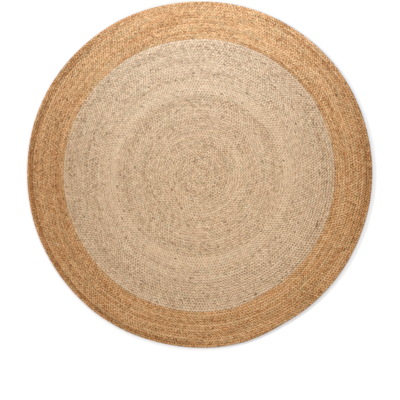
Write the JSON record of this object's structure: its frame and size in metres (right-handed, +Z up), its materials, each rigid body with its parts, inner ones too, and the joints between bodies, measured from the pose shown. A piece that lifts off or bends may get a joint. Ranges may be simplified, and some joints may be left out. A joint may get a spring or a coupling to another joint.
{
  "type": "round jute rug",
  "caption": "Flat round rug of plaited jute wound in a coil, undyed in the middle with a wide border of darker jute, to lie on a floor.",
  "frame": {"origin": "under the middle of the rug, on the floor that it lies on", "axes": "+Z up through the rug's thickness; +X and +Y across it; the coil grows anticlockwise seen from above and ends 300 degrees round from +X"},
  "size_m": [1.496, 1.5014, 0.009],
  "materials": {
    "natural_jute": "matte",
    "tan_jute": "matte"
  },
  "bodies": {
    "root": {"center_coil": "natural_jute", "border_coil": "tan_jute"}
  },
  "joints": []
}
